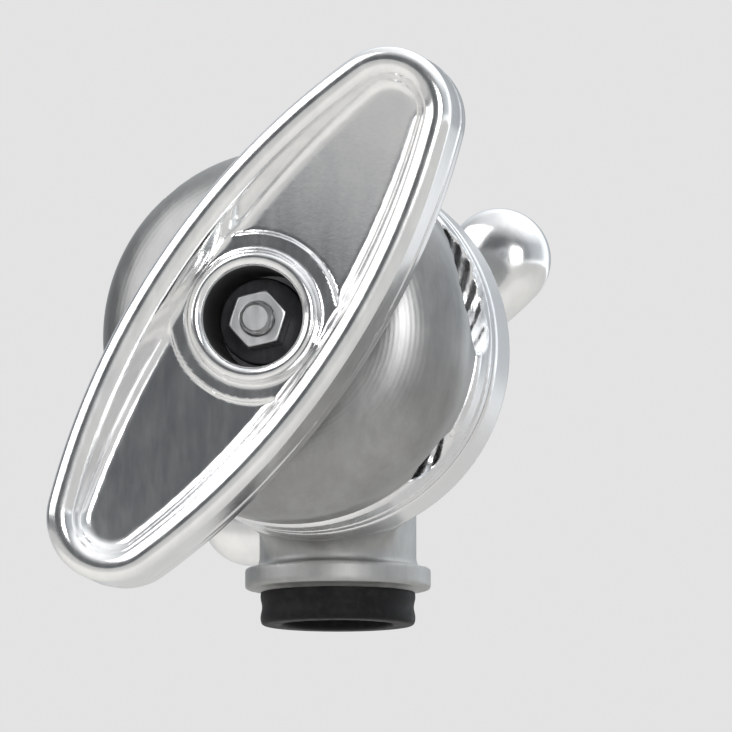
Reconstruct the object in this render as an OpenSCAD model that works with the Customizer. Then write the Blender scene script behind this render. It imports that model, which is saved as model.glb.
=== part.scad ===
// Umbrella swivel bracket: a compact friction grip head for a 16 mm stand stud.
// +Z is up, +X is right, -Y is the front, where the main handle is.
// The origin is on the stand socket's axis, at the socket's mouth.
// Distances "forward" are measured from the socket axis towards -Y.

/* [Stand socket] */
// Height of the clamping spindle's axis above the socket mouth
axis_z = 38; // [36:0.1:39]
// Radius of the socket bore, for a 16 mm stud
socket_r = 8.1; // [8.05:0.01:8.2]
// Depth of the socket bore
socket_depth = 46; // [40:1:48]
// Radius of the socket sleeve
sleeve_r = 12; // [11.6:0.1:12.4]
// Height of the sleeve's flat top
sleeve_top = 52; // [50:0.5:54]
// Radius of the lip around the sleeve's foot
lip_r = 14.2; // [13:0.1:15]
// Height of the lip
lip_h = 3.7; // [3:0.1:5]
// Outer radius of the rubber bump ring
ring_r = 11.9; // [11:0.1:12.5]
// Height of the rubber bump ring
ring_h = 5.5; // [5:0.1:6.5]
// How far the bump ring hangs below the socket mouth
ring_drop = 2.5; // [2:0.1:3]

/* [Jaw stack] */
// Radius of the base disc and of both jaws
jaw_r = 28.5; // [27.5:0.1:30]
// Front face of the base disc, forward of the socket axis
base_face = 20.5; // [20.5:0.1:21]
// Rear face of the inner jaw
inner_rear = 21.3; // [21.3:0.05:21.5]
// Front face of the inner jaw
inner_front = 32.5; // [32.4:0.1:32.6]
// Gap between the jaws while they hold the umbrella shaft
jaw_gap = 2; // [1.9:0.1:2.2]
// Height of the outer jaw's straight rim
rim_h = 5; // [4:0.1:6]
// Height of the outer jaw's dome above its gripping face
dome_h = 15; // [14.8:0.1:15.2]
// Tilt of the grooves, down to the right
groove_tilt = 18.5; // [0:0.5:30]
// Radius of the umbrella shaft groove
shaft_r = 4; // [3.5:0.1:4]
// Distance of the umbrella shaft below the spindle axis
shaft_drop = 10.5; // [10.5:0.1:11]
// Radius of the 16 mm rod groove
rod_r = 8; // [7.5:0.1:8]
// Distance of the 16 mm rod above the spindle axis
rod_rise = 14.6; // [14.5:0.1:15]

/* [Spindle and bearing] */
// Radius of the clamping spindle
spindle_r = 4.76; // [4.5:0.01:4.8]
// Radial clearance of every running fit
run_fit = 0.05; // [0.03:0.01:0.08]
// Radius of the thrust bearing's pocket
pocket_r = 14; // [13.8:0.1:14.2]
// Diameter of the bearing balls
ball_d = 3; // [2.8:0.1:3]
// Number of bearing balls
ball_count = 12; // [8:1:14]

/* [Main handle] */
// Tip to tip length of the handle
handle_l = 93; // [88:1:100]
// Width of the handle at its middle
handle_w = 33; // [31:0.5:34]
// Radius of the handle's tips
handle_tip_r = 10; // [9:0.5:11]
// Thickness of the handle's wings
handle_t = 16; // [14:0.5:17]
// Front plane of the handle's raised rim
handle_front = 71; // [70.5:0.5:72]
// Width of the raised rim's crest
rim_w = 4; // [3:0.1:4.5]
// How far the dish's wall slopes in from the crest to the floor
wall_slope = 2.4; // [2:0.1:4]
// Depth of the dish's floor below the rim
floor_drop = 6.5; // [6:0.5:9]
// Lean of the handle from vertical, to the right
handle_lean = 35; // [0:1:90]
// Radius of the counterbore for the stop nut
counterbore_r = 7.5; // [7.2:0.1:7.8]

/* [Stand lock] */
// Height of the lock screw's axis above the socket mouth
lock_z = 37.2; // [34:0.1:38]
// Radius of the lock screw
lock_r = 4; // [4:0.1:4.2]
// Tip to tip length of the lock handle
lock_l = 71; // [60:1:74]
// Rise of the lock handle's long axis from horizontal
lock_lean = 45; // [0:1:90]

/* [Hidden] */
$fn = 64;
eps = 1;
// stand socket
spigot_r = 9.6;
spigot_h = ring_h - ring_drop;
ring_bore_r = 8.5;
lip_slope = 1.5;
base_bevel = 1.4;
// base disc
base_t = 12;
base_rear = base_face - base_t;
friction_r = 24;
friction_t = 1.5;
friction_sink = 0.75;
bolt_rear = 9.2;
roll_pin_r = 1.5;
roll_pin_l = 24;
roll_pin_at = 15.2;
// jaws
outer_face = inner_front + jaw_gap;
gap_mid = inner_front + jaw_gap / 2;
bush_r = 7;
spring_pocket_r = 6.4;
spring_wire_r = 0.55;
spring_r = spindle_r + 0.2 + spring_wire_r;
spring_turns = 5;
spring_rear = 26.6;
seat_t = 1;
outer_hub_rear = outer_face + 2;
bearing_rear = 43.5;
race_t = 1;
race_in_r = 6.6;
race_out_r = 12.4;
ball_ring_r = 9.5;
bearing_front = bearing_rear + 2 * race_t + ball_d;
guide_pin_r = 2;
guide_pin_at = 18;
guide_pin_rear = 23;
guide_pin_front = 43.5;
guide_hole_end = 46;
dome_in_r = 16;
// handle and spindle end
handle_rear = handle_front - handle_t;
hub_r = 12.5;
insert_r = 9;
insert_front = 52;
insert_spigot_r = 6.3;
shoulder = 57.3;
stud_r = 2.5;
stud_end = 64.4;
washer_t = 1.5;
washer_r = 6.6;
nut_af = 8;
nut_h = 4;
boss_r = 10;
boss_drop = 4;
base_boss_r = 12.8;
base_boss_rise = 1.5;
dish_steps = 4;
dish_floor_r = 300;
insert_pin_r = 1;
insert_pin_at = 50.3;
// stand lock
boss_lock_r = 8.5;
boss_end = 19;
lock_bush_r = 6.2;
lock_pad_t = 2;
lock_pad_r = 4.4;
lock_thread_from = 12.5;
lock_hub_from = 23.5;
lock_hub_t = 14;
lock_hub_r = 8.5;
lock_wing_t = 11;
lock_tip_r = 8;
lock_waist_r = 5.5;
lock_pin_r = 1.25;

// Children drawn with +Z forward along the spindle's axis
module on_spindle() {
    translate([0, 0, axis_z]) rotate([90, 0, 0]) children();
}

// Children drawn with +Z backward along the lock screw's axis
module on_lock() {
    translate([0, 0, lock_z]) rotate([-90, 0, 0]) children();
}

// A tube from one forward distance to another
module tube(from, to, out_r, in_r) {
    translate([0, 0, from]) difference() {
        cylinder(h = to - from, r = out_r);
        translate([0, 0, -eps]) cylinder(h = to - from + 2 * eps, r = in_r);
    }
}

// A disc whose two rims are bevelled by b
module bevelled(from, to, r, b) {
    translate([0, 0, from]) rotate_extrude() polygon([
        [0, 0], [r - b, 0], [r, b], [r, to - from - b], [r - b, to - from], [0, to - from]]);
}

// The two grooves across the gripping faces
module grooves() {
    rotate([0, 0, -groove_tilt]) {
        translate([-jaw_r - eps, -shaft_drop, gap_mid]) rotate([0, 90, 0])
            cylinder(h = 2 * (jaw_r + eps), r = shaft_r);
        translate([-jaw_r - eps, rod_rise, gap_mid]) rotate([0, 90, 0])
            cylinder(h = 2 * (jaw_r + eps), r = rod_r);
    }
}

// Children placed at both guide pins, level with the grooves
module at_guides() {
    for (side = [-1, 1]) rotate([0, 0, -groove_tilt]) translate([side * guide_pin_at, 0, 0])
        children();
}

module base_casting() {
    color("#b9bbbe") difference() {
        union() {
            cylinder(h = spigot_h + eps, r = spigot_r);
            translate([0, 0, spigot_h]) rotate_extrude() polygon([
                [0, 0], [lip_r - 0.4, 0], [lip_r, 0.4], [lip_r, lip_h - lip_slope],
                [sleeve_r, lip_h], [0, lip_h]]);
            translate([0, 0, spigot_h + lip_h - eps])
                cylinder(h = sleeve_top - spigot_h - lip_h + eps, r = sleeve_r);
            translate([0, 0, sleeve_top]) cylinder(h = 2, r1 = sleeve_r, r2 = sleeve_r - 2);
            on_spindle() bevelled(base_rear, base_face, jaw_r, base_bevel);
            on_spindle() translate([0, 0, bolt_rear - 8]) cylinder(h = base_t, r = 11);
            on_lock() cylinder(h = boss_end, r = boss_lock_r);
        }
        translate([0, 0, -eps]) cylinder(h = socket_depth + eps, r = socket_r);
        on_spindle() translate([0, 0, base_face - friction_sink])
            cylinder(h = friction_t, r = friction_r);
        on_spindle() translate([0, 0, bolt_rear]) cylinder(h = base_t + 8, r = spindle_r);
        translate([0, -roll_pin_at, axis_z - roll_pin_l / 2])
            cylinder(h = jaw_r + roll_pin_l, r = roll_pin_r);
        on_lock() cylinder(h = lock_thread_from, r = lock_pad_r + run_fit);
        on_lock() translate([0, 0, lock_thread_from - 0.01])
            cylinder(h = boss_end, r = lock_bush_r);
    }
}

module socket_bump_ring() {
    color("#141414") difference() {
        translate([0, 0, -ring_drop]) rotate_extrude() polygon([
            [ring_bore_r, 0], [ring_r - 0.6, 0], [ring_r, 0.6],
            [ring_r, ring_h - 0.6], [ring_r - 0.6, ring_h], [ring_bore_r, ring_h]]);
        cylinder(h = ring_h, r = spigot_r);
    }
}

module centre_spindle() {
    color("#8f9296") on_spindle() difference() {
        union() {
            translate([0, 0, bolt_rear]) cylinder(h = shoulder - bolt_rear, r = spindle_r);
            translate([0, 0, shoulder - eps]) cylinder(h = stud_end - shoulder + eps, r = stud_r);
        }
        translate([0, -roll_pin_l, roll_pin_at]) rotate([-90, 0, 0])
            cylinder(h = 2 * roll_pin_l, r = roll_pin_r);
    }
}

module spindle_roll_pin() {
    color("#5d6064") translate([0, -roll_pin_at, axis_z - roll_pin_l / 2]) difference() {
        cylinder(h = roll_pin_l, r = roll_pin_r);
        translate([0, 0, -eps]) cylinder(h = roll_pin_l + 2 * eps, r = roll_pin_r - 0.6);
    }
}

module base_friction_disc() {
    color("#4a3a2c") on_spindle()
        tube(base_face - friction_sink, inner_rear - 0.04, friction_r, spindle_r + 0.6);
}

module lock_thread_bush() {
    color("#b08d4a") on_lock() tube(lock_thread_from, boss_end + 1.2, lock_bush_r, lock_r + run_fit);
}

module inner_jaw() {
    color("#b4b6b9") on_spindle() difference() {
        bevelled(inner_rear, inner_front, jaw_r, 0.9);
        translate([0, 0, inner_rear - eps]) cylinder(h = 40, r = spring_pocket_r);
        translate([0, 0, inner_rear - eps])
            cylinder(h = spring_rear - inner_rear + eps, r = bush_r);
        grooves();
        at_guides() translate([0, 0, guide_pin_rear]) cylinder(h = 40, r = guide_pin_r);
    }
}

module inner_jaw_bush() {
    color("#b5803c") on_spindle()
        tube(inner_rear, spring_rear, bush_r, spindle_r + run_fit);
}

module jaw_guide_pins() {
    color("#9a9da1") on_spindle() at_guides() translate([0, 0, guide_pin_rear]) {
        cylinder(h = guide_pin_front - guide_pin_rear - 0.8, r = guide_pin_r);
        translate([0, 0, guide_pin_front - guide_pin_rear - 0.8])
            cylinder(h = 0.8, r1 = guide_pin_r, r2 = guide_pin_r - 0.6);
    }
}

// The spring's wire: sides around the wire, and rings in each turn of the coil
SPRING_SIDES = 8;
SPRING_STEPS = 20;
spring_len = outer_hub_rear - seat_t - spring_rear - 2 * spring_wire_r;
spring_rings = spring_turns * SPRING_STEPS;

function spring_point(ring, side) =
    let (turn = 360 * ring / SPRING_STEPS, around = 360 * side / SPRING_SIDES,
        reach = spring_r + spring_wire_r * cos(around))
    [reach * cos(turn), reach * sin(turn),
        spring_len * ring / spring_rings + spring_wire_r * sin(around)];

module jaw_spring() {
    last = spring_rings * SPRING_SIDES;
    color("#70747a") on_spindle() translate([0, 0, spring_rear + spring_wire_r]) polyhedron(
        points = [for (ring = [0 : spring_rings], side = [0 : SPRING_SIDES - 1])
            spring_point(ring, side)],
        faces = concat(
            [[for (side = [0 : SPRING_SIDES - 1]) side]],
            [[for (side = [SPRING_SIDES - 1 : -1 : 0]) last + side]],
            [for (ring = [0 : spring_rings - 1], side = [0 : SPRING_SIDES - 1])
                let (low = ring * SPRING_SIDES, next = (side + 1) % SPRING_SIDES)
                [low + side, low + SPRING_SIDES + side, low + SPRING_SIDES + next, low + next]]));
}

module spring_seat_washer() {
    color("#8a8d91") on_spindle()
        tube(outer_hub_rear - seat_t, outer_hub_rear, spring_pocket_r - 0.1, spindle_r + 0.1);
}

module outer_jaw() {
    top = dome_h;
    color("#b4b6b9") on_spindle() difference() {
        translate([0, 0, outer_face]) rotate_extrude() polygon([
            [0, 0], [jaw_r - 0.9, 0], [jaw_r, 0.9], [jaw_r, rim_h], [jaw_r - 0.5, rim_h + 1.6],
            for (step = [0 : 5]) let (part = step / 5)
                [jaw_r - 1.6 - part * (jaw_r - 1.6 - dome_in_r),
                    rim_h + 2.9 + (top - rim_h - 2.9) * sin(90 * part)],
            [0, top]]);
        translate([0, 0, outer_face - eps]) cylinder(h = 40, r = spring_pocket_r);
        translate([0, 0, outer_hub_rear]) cylinder(h = 40, r = bush_r);
        translate([0, 0, bearing_rear]) cylinder(h = 40, r = pocket_r);
        grooves();
        at_guides() translate([0, 0, outer_face - eps])
            cylinder(h = guide_hole_end - outer_face + eps, r = guide_pin_r + run_fit);
    }
}

module outer_jaw_bush() {
    color("#b5803c") on_spindle()
        tube(outer_hub_rear, bearing_rear - 0.5, bush_r, spindle_r + run_fit);
}

module bearing_rear_race() {
    color("#c9cbce") on_spindle()
        tube(bearing_rear, bearing_rear + race_t, pocket_r - 0.4, race_in_r + 0.3);
}

// Children placed at every bearing ball's centre
module at_balls() {
    for (ball = [0 : ball_count - 1]) rotate([0, 0, 360 * ball / ball_count])
        translate([ball_ring_r, 0, bearing_rear + race_t + ball_d / 2]) children();
}

module bearing_cage() {
    color("#c39a4b") on_spindle() difference() {
        tube(bearing_rear + race_t + 0.9, bearing_front - race_t - 0.9, race_out_r - 0.4,
            race_in_r + 0.4);
        at_balls() translate([0, 0, -ball_d]) cylinder(h = 2 * ball_d, r = ball_d / 2 + 0.05);
    }
}

module bearing_balls() {
    color("#d8dadd") on_spindle() at_balls() sphere(d = ball_d - 0.04);
}

module bearing_front_race() {
    color("#c9cbce") on_spindle()
        tube(bearing_front - race_t, bearing_front, race_out_r, race_in_r);
}

module bearing_seal_ring() {
    color("#1c1c1c") on_spindle()
        tube(outer_face + dome_h - 1.6, outer_face + dome_h - 0.2, pocket_r, hub_r + 0.3);
}

// The handle's outline, drawn in by inset: two round tips joined by shallow arcs
tip_at = handle_l / 2 - handle_tip_r;
half_w = handle_w / 2;
side_arc_r = (tip_at * tip_at + half_w * half_w - handle_tip_r * handle_tip_r)
    / (2 * (half_w - handle_tip_r));
tip_turn = atan2(side_arc_r - half_w, tip_at);
TIP_STEPS = 10;
SIDE_STEPS = 8;

function handle_outline(inset) =
    [for (end = [0, 180])
        each concat(
            [for (step = [0 : TIP_STEPS])
                let (turn = end + 90 + tip_turn_at(step))
                [(handle_tip_r - inset) * cos(turn),
                    tip_at * (end == 0 ? 1 : -1) + (handle_tip_r - inset) * sin(turn)]],
            [for (step = [1 : SIDE_STEPS - 1])
                let (sweep = side_sweep * (1 - 2 * step / SIDE_STEPS),
                    side = end == 0 ? -1 : 1,
                    reach = side_arc_r - inset)
                [side * (reach * cos(sweep) - (side_arc_r - half_w)),
                    -side * reach * sin(sweep)]])];

side_sweep = 90 - tip_turn;
function tip_turn_at(step) = (90 - side_sweep) * (2 * step / TIP_STEPS - 1);

// Children leaned as the main handle leans
module leaned() {
    rotate([0, 0, -handle_lean]) children();
}

// The dish in the handle's front: walls that slope in by steps, and a floor that rises to the tips
module dish() {
    intersection() {
        for (step = [0 : dish_steps - 1])
            translate([0, 0, handle_t - floor_drop * (1 - step / dish_steps)])
                linear_extrude(height = handle_t)
                    polygon(handle_outline(rim_w + wall_slope * (1 - step / dish_steps)));
        translate([-handle_w, 0, handle_t - floor_drop + dish_floor_r]) rotate([0, 90, 0])
            cylinder(h = 2 * handle_w, r = dish_floor_r, $fn = 256);
    }
}

module handle_casting() {
    floor_at = handle_front - floor_drop;
    color("#c4c6c9") on_spindle() leaned() difference() {
        union() {
            translate([0, 0, handle_rear]) difference() {
                union() {
                    linear_extrude(height = handle_t - 2) polygon(handle_outline(0));
                    linear_extrude(height = handle_t) polygon(handle_outline(1));
                }
                dish();
            }
            translate([0, 0, bearing_front]) cylinder(h = handle_rear - bearing_front + eps, r = hub_r);
            translate([0, 0, floor_at - eps]) intersection() {
                cylinder(h = base_boss_rise + eps, r = base_boss_r);
                linear_extrude(height = base_boss_rise + eps) polygon(handle_outline(rim_w));
            }
            translate([0, 0, floor_at - eps])
                cylinder(h = floor_drop + eps - boss_drop, r = boss_r);
        }
        translate([0, 0, bearing_front - eps]) cylinder(h = 40, r = counterbore_r);
        translate([0, 0, bearing_front - eps])
            cylinder(h = insert_front - bearing_front + eps, r = insert_r);
        translate([0, -hub_r - eps, insert_pin_at]) rotate([-90, 0, 0])
            cylinder(h = 2 * (hub_r + eps), r = insert_pin_r);
    }
}

module handle_thread_insert() {
    color("#9b9ea2") on_spindle() leaned() difference() {
        union() {
            translate([0, 0, bearing_front])
                cylinder(h = insert_front - bearing_front, r = insert_r);
            translate([0, 0, bearing_rear + 0.4])
                cylinder(h = bearing_front - bearing_rear, r = insert_spigot_r);
        }
        cylinder(h = 80, r = spindle_r + run_fit);
        for (side = [-1, 1]) translate([0, side * (hub_r - 3), insert_pin_at])
            rotate([90, 0, 0]) cylinder(h = 5, r = insert_pin_r, center = true);
    }
}

module handle_insert_pin() {
    color("#5d6064") on_spindle() leaned() for (side = [-1, 1])
        translate([0, side * (hub_r - 3), insert_pin_at])
            rotate([90, 0, 0]) cylinder(h = 5, r = insert_pin_r, center = true);
}

module stop_washer() {
    color("#c9cbce") on_spindle() tube(shoulder, shoulder + washer_t, washer_r, stud_r);
}

module stop_nut() {
    color("#d2d4d6") on_spindle() rotate([0, 0, 12]) difference() {
        intersection() {
            translate([0, 0, shoulder + washer_t])
                cylinder(h = nut_h, r = nut_af / 2 / cos(30), $fn = 6);
            translate([0, 0, shoulder + washer_t - 0.01]) rotate_extrude() polygon([
                [0, 0], [nut_af / 2 + 0.4, 0], [nut_af / 2 + 1, 0.6],
                [nut_af / 2 + 1, nut_h - 0.6], [nut_af / 2, nut_h + 0.02], [0, nut_h + 0.02]]);
        }
        cylinder(h = 90, r = stud_r);
    }
}

module lock_pad() {
    color("#b58a3c") on_lock() difference() {
        cylinder(h = socket_r + lock_pad_t, r = lock_pad_r);
        rotate([90, 0, 0]) cylinder(h = 40, r = socket_r, center = true);
    }
}

module lock_screw() {
    color("#8f9296") on_lock() difference() {
        translate([0, 0, socket_r + lock_pad_t])
            cylinder(h = lock_hub_from + lock_hub_t - 2 - socket_r - lock_pad_t, r = lock_r);
        lock_pin_hole();
    }
}

module lock_pin_hole() {
    rotate([0, 0, -lock_lean]) translate([0, 0, lock_hub_from + lock_hub_t / 2])
        rotate([90, 0, 0]) cylinder(h = 2 * lock_hub_r + 2, r = lock_pin_r, center = true);
}

// One wing of the lock handle, swelling from the waist to a round tip
module lock_wing() {
    reach = lock_l / 2 - lock_tip_r;
    translate([0, 0, lock_hub_from + (lock_hub_t - lock_wing_t) / 2])
        linear_extrude(height = lock_wing_t) union() {
            polygon([[0, -lock_waist_r], [reach, -lock_tip_r + 0.4],
                [reach, lock_tip_r - 0.4], [0, lock_waist_r]]);
            translate([reach, 0]) circle(r = lock_tip_r);
        }
}

module lock_handle() {
    color("#c4c6c9") on_lock() difference() {
        union() {
            bevelled(lock_hub_from, lock_hub_from + lock_hub_t, lock_hub_r, 1);
            rotate([0, 0, -lock_lean]) lock_wing();
            rotate([0, 0, 180 - lock_lean]) lock_wing();
        }
        cylinder(h = lock_hub_from + lock_hub_t - 2, r = lock_r);
        lock_pin_hole();
    }
}

module lock_handle_pin() {
    color("#5d6064") on_lock() rotate([0, 0, -lock_lean])
        translate([0, 0, lock_hub_from + lock_hub_t / 2]) rotate([90, 0, 0])
            cylinder(h = 2 * lock_hub_r - 1, r = lock_pin_r, center = true);
}

base_casting();
socket_bump_ring();
centre_spindle();
spindle_roll_pin();
base_friction_disc();
lock_thread_bush();
inner_jaw();
inner_jaw_bush();
jaw_guide_pins();
jaw_spring();
spring_seat_washer();
outer_jaw();
outer_jaw_bush();
bearing_rear_race();
bearing_cage();
bearing_balls();
bearing_front_race();
bearing_seal_ring();
handle_casting();
handle_thread_insert();
handle_insert_pin();
stop_washer();
stop_nut();
lock_pad();
lock_screw();
lock_handle();
lock_handle_pin();
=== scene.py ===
import math

import bpy
import numpy as np
from mathutils import Matrix, Vector


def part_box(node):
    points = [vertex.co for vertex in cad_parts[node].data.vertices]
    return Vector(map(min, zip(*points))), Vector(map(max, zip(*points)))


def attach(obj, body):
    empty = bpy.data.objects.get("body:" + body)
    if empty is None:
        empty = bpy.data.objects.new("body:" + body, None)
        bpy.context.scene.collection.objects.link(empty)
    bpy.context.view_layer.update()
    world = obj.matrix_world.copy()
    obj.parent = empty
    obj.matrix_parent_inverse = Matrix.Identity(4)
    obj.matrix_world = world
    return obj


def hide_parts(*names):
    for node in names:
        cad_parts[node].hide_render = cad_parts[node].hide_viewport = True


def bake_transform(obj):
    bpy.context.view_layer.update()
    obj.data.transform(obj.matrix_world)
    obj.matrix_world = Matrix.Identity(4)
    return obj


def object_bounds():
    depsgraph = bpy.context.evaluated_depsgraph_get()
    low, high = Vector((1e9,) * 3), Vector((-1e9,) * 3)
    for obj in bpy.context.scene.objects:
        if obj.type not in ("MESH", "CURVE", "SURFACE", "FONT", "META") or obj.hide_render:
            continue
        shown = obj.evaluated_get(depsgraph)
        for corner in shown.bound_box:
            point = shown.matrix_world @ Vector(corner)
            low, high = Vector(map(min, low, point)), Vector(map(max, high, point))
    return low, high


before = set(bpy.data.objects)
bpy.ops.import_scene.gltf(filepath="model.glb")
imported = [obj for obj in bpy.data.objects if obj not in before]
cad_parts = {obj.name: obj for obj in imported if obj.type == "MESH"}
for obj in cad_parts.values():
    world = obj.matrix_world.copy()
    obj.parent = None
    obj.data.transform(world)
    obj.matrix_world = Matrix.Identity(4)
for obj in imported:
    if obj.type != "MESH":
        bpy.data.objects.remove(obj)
cad_low, cad_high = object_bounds()

# ---------------------------------------------------------------- places and sizes, in millimetres
# Along the spindle, "forward" is how far a place is from the stand socket's axis towards -Y. Along the
# lock screw, "backward" is how far it is towards +Y.
MM = 0.001


def box_mm(node_name):
    low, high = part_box(node_name)
    return np.array(low) / MM, np.array(high) / MM


def forward(node_name):
    """Rear and front of a node along the spindle."""
    low, high = box_mm(node_name)
    return -high[1], -low[1]


def backward(node_name):
    """Front and rear of a node along the lock screw."""
    low, high = box_mm(node_name)
    return low[1], high[1]


def radius(node_name):
    """Half of a node's width."""
    low, high = box_mm(node_name)
    return (high[0] - low[0]) / 2


def mid_height(node_name):
    low, high = box_mm(node_name)
    return (high[2] + low[2]) / 2


RUN_FIT = 0.05
SPINDLE_Z = mid_height("outer_jaw")
SPINDLE_R = radius("centre_spindle")
SPINDLE_PITCH = 1.5875
LOCK_Z = mid_height("lock_screw")
LOCK_R = radius("lock_screw")
LOCK_PITCH = 1.25

# the base's disc, the jaws and their gap
BASE_REAR, BASE_FRONT = 8.5, 20.5
JAW_R = radius("inner_jaw")
INNER_REAR, INNER_FRONT = forward("inner_jaw")
OUTER_REAR, OUTER_FRONT = forward("outer_jaw")
GAP_MIDDLE = (INNER_FRONT + OUTER_REAR) / 2

# the bearing and the main handle
RACE_REAR, RACE_FRONT = forward("bearing_rear_race")[0], forward("bearing_front_race")[1]
HANDLE_T = 16.0
HANDLE_FRONT = forward("handle_casting")[1]
HANDLE_REAR = HANDLE_FRONT - HANDLE_T
HUB_R = 12.5
COUNTERBORE_R = 7.5

# tilts, in degrees, as the CAD model has them at rest
GROOVE_TILT = 18.5
HANDLE_LEAN = 35.0
LOCK_LEAN = 45.0
NUT_TURN = 12.0


def turned(base, degrees):
    return base @ Matrix.Rotation(math.radians(degrees), 4, "Z")


# a piece is made with its own axis along Z; these frames lay Z forward, backward or leave it upright
SPINDLE_FRAME = Matrix(((1, 0, 0, 0), (0, 0, -1, 0), (0, 1, 0, SPINDLE_Z), (0, 0, 0, 1)))
LOCK_FRAME = Matrix(((1, 0, 0, 0), (0, 0, 1, 0), (0, -1, 0, LOCK_Z), (0, 0, 0, 1)))
STAND_FRAME = Matrix.Identity(4)
HANDLE_FRAME = turned(SPINDLE_FRAME, -HANDLE_LEAN)
WING_FRAME = turned(LOCK_FRAME, -LOCK_LEAN)


# ---------------------------------------------------------------- distance fields, negative inside
def join(a, b, blend):
    """Both bodies, with a fillet where they meet."""
    near = np.maximum(blend - np.abs(a - b), 0) / blend
    return np.minimum(a, b) - near * near * blend / 4


def trim(a, b, blend):
    """What is inside both, with a rounded edge."""
    return -join(-a, -b, blend)


def cut(body, tool, blend):
    """The body without the tool, with a rounded edge."""
    return trim(body, -tool, blend)


def drum(r, z, drum_r, low, high, edge):
    """A cylinder with rounded rims."""
    across = r - drum_r + edge
    along = np.abs(z - (low + high) / 2) - (high - low) / 2 + edge
    outside = np.hypot(np.maximum(across, 0), np.maximum(along, 0))
    return np.minimum(np.maximum(across, along), 0) + outside - edge


def hole(r, hole_r, past_end):
    """A straight hole; past_end is 0 at its closed end and negative before it."""
    return np.maximum(r - hole_r, past_end)


def xyz(p):
    """The three coordinates of an array of points."""
    return p[..., 0], p[..., 1], p[..., 2]


# ---------------------------------------------------------------- the skin of a field
SETTLE_ROUNDS = 4
SETTLE_STEP = 0.02
LEAST_STEEP = 0.2


def skin(field, low, high, cell):
    """Vertices and quads of the surface where a field is 0, within a box.

    Each grid cell that the surface passes has one vertex, amid its crossings with the cell's edges.
    """
    low, high = np.array(low, float), np.array(high, float)
    count = np.ceil((high - low) / cell).astype(int) + 2
    axes = [low[k] - cell / 2 + cell * np.arange(count[k]) for k in range(3)]
    grid = np.stack(np.meshgrid(*axes, indexing="ij"), -1)
    value = field(grid)
    cells = tuple(count - 1)
    total, hits = np.zeros((*cells, 3)), np.zeros(cells)
    edges = []
    for axis in range(3):
        crossed, leaves, points = crossings(value, grid, cell, axis)
        for beside in cells_beside(axis, cells):
            total += points[beside]
            hits += crossed[beside]
        edges.append((axis, crossed, leaves))
    used = hits > 0
    points = total[used] / hits[used][:, None]
    number = np.full(cells, -1)
    number[used] = np.arange(len(points))
    quads = np.concatenate([quads_around(number, *edge) for edge in edges])
    return settle(field, points, cell), quads


def crossings(value, grid, cell, axis):
    """Which grid edges along an axis the surface crosses, which start inside the body, and where."""
    steps = value.shape[axis] - 1
    first = np.take(value, range(steps), axis)
    second = np.take(value, range(1, steps + 1), axis)
    crossed = (first < 0) != (second < 0)
    share = np.where(crossed, first / np.where(crossed, first - second, 1), 0)
    point = np.take(grid, range(steps), axis)
    point[..., axis] += share * cell
    return crossed, first < 0, point * crossed[..., None]


def cells_beside(axis, cells):
    """The four ways to lay the edges along an axis over the cells that they bound."""
    u, v = (axis + 1) % 3, (axis + 2) % 3
    for du in (0, 1):
        for dv in (0, 1):
            part = [slice(None)] * 3
            part[u] = slice(du, du + cells[u])
            part[v] = slice(dv, dv + cells[v])
            yield tuple(part)


def quads_around(number, axis, crossed, leaves):
    """A quad around each crossed edge, from the vertices of its four cells, facing outward."""
    u, v = (axis + 1) % 3, (axis + 2) % 3
    at = np.argwhere(crossed)
    inner = (at[:, u] > 0) & (at[:, v] > 0)
    inner &= (at[:, u] < number.shape[u]) & (at[:, v] < number.shape[v])
    at = at[inner]
    corners = []
    for du, dv in ((1, 1), (0, 1), (0, 0), (1, 0)):
        corner = at.copy()
        corner[:, u] -= du
        corner[:, v] -= dv
        corners.append(number[tuple(corner.T)])
    quad = np.stack(corners, -1)
    outward = leaves[tuple(at.T)]
    return np.where(outward[:, None], quad, quad[:, ::-1])


def settle(field, points, cell):
    """Moves points onto the surface along the field's slope."""
    for _ in range(SETTLE_ROUNDS):
        slope = np.stack([
            (field(points + SETTLE_STEP * way) - field(points - SETTLE_STEP * way)) / (2 * SETTLE_STEP)
            for way in np.eye(3)], -1)
        steep = np.maximum((slope**2).sum(-1), LEAST_STEEP)
        move = slope * (field(points) / steep)[:, None]
        points = points - np.clip(move, -cell / 2, cell / 2)
    return points


# ---------------------------------------------------------------- pieces
def finish_piece(name, points, faces, place, body, stands_for, slot, material, sharp_angle=None):
    """Makes a piece from points in millimetres, and ties it to its body, CAD node and finish."""
    mesh = bpy.data.meshes.new(name)
    mesh.from_pydata(np.asarray(points, float).tolist(), [], [list(map(int, face)) for face in faces])
    mesh.transform(Matrix.Scale(MM, 4) @ place)
    mesh.shade_smooth()
    if sharp_angle:
        mesh.set_sharp_from_angle(angle=math.radians(sharp_angle))
    mesh.update()
    mesh.validate()
    piece = bpy.data.objects.new(name, mesh)
    bpy.context.scene.collection.objects.link(piece)
    piece.data.materials.append(material)
    if body:
        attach(piece, body)
    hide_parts(stands_for)
    return piece


def cast(name, field, low, high, cell, place, **tie):
    """A piece whose surface is where a distance field is 0."""
    points, quads = skin(field, low, high, cell)
    return finish_piece(name, points, quads, place, **tie)


FILLET_STEPS = 4
LARGEST_FILLET = 0.49


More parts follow.
